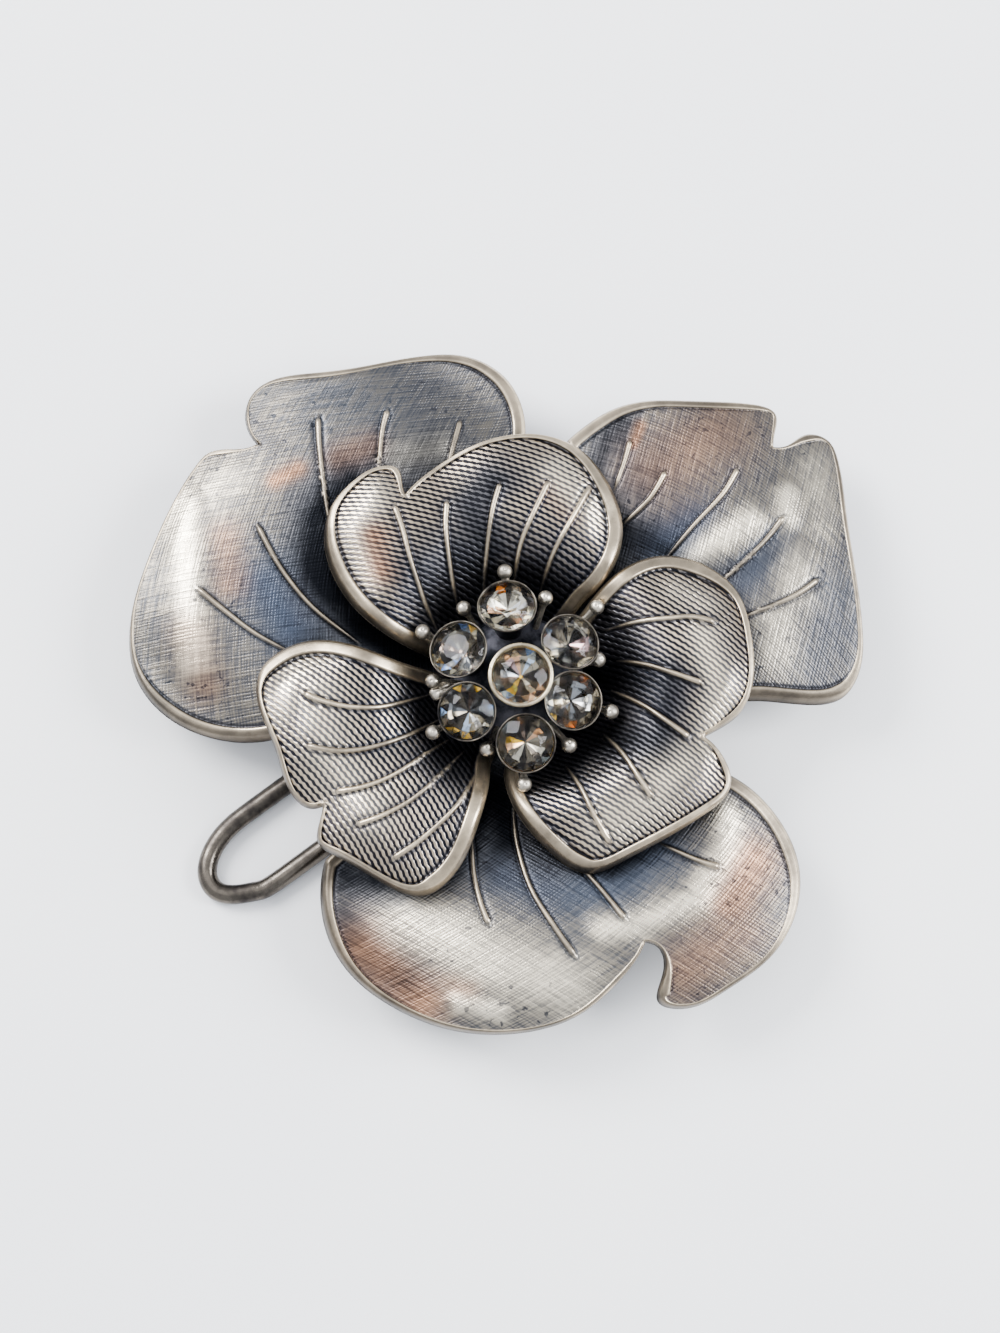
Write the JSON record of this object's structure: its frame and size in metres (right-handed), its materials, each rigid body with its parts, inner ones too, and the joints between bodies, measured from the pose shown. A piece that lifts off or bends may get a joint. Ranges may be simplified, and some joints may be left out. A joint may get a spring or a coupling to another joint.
{
  "type": "decorative hair pin",
  "caption": "Layered flower hair ornament in antiqued silver with a crystal cluster and ball stamens, on a pronged wire hair fork.",
  "frame": {"origin": "centre of the bounding box's underside, on the surface the pin rests on", "axes": "+X along the prongs from the loop towards the tips, +Z out of the flower's face, +Y completes a right-handed frame"},
  "size_m": [0.0752, 0.0748, 0.0137],
  "materials": {
    "antique_silver": "antiqued silver plate, dark patina in the engraving, polished on rims and veins",
    "plate_metal": "plain antiqued plate, dull",
    "fork_wire": "drawn wire, antiqued, slightly warm",
    "dark_oxide": "black oxidised metal",
    "pale_bezel": "pale champagne polished metal",
    "cup_metal": "thin pressed cup, antiqued",
    "stone": "foil-backed cut crystal, greyed beige with coloured flashes",
    "bead_metal": "antiqued cast beads"
  },
  "bodies": {
    "root": {"outer_petal_upper_left": "antique_silver", "outer_petal_upper_right": "antique_silver", "outer_petal_lower": "antique_silver", "inner_petal_top": "antique_silver", "inner_petal_left": "antique_silver", "inner_petal_right": "antique_silver", "back_plate": "plate_metal", "hair_fork": "fork_wire", "fork_saddle": "plate_metal", "centre_rivet": "plate_metal", "cluster_base": "dark_oxide", "centre_bezel": "pale_bezel", "stone_cup_1": "cup_metal", "stone_cup_2": "cup_metal", "stone_cup_3": "cup_metal", "stone_cup_4": "cup_metal", "stone_cup_5": "cup_metal", "stone_cup_6": "cup_metal", "stone_1": "stone", "stone_2": "stone", "stone_3": "stone", "stone_4": "stone", "stone_5": "stone", "stone_6": "stone", "stone_centre": "stone", "stamen_01": "bead_metal", "stamen_02": "bead_metal", "stamen_03": "bead_metal", "stamen_04": "bead_metal", "stamen_05": "bead_metal", "stamen_06": "bead_metal", "stamen_07": "bead_metal", "stamen_08": "bead_metal", "stamen_09": "bead_metal", "stamen_10": "bead_metal", "stamen_11": "bead_metal", "stamen_12": "bead_metal"}
  },
  "joints": []
}
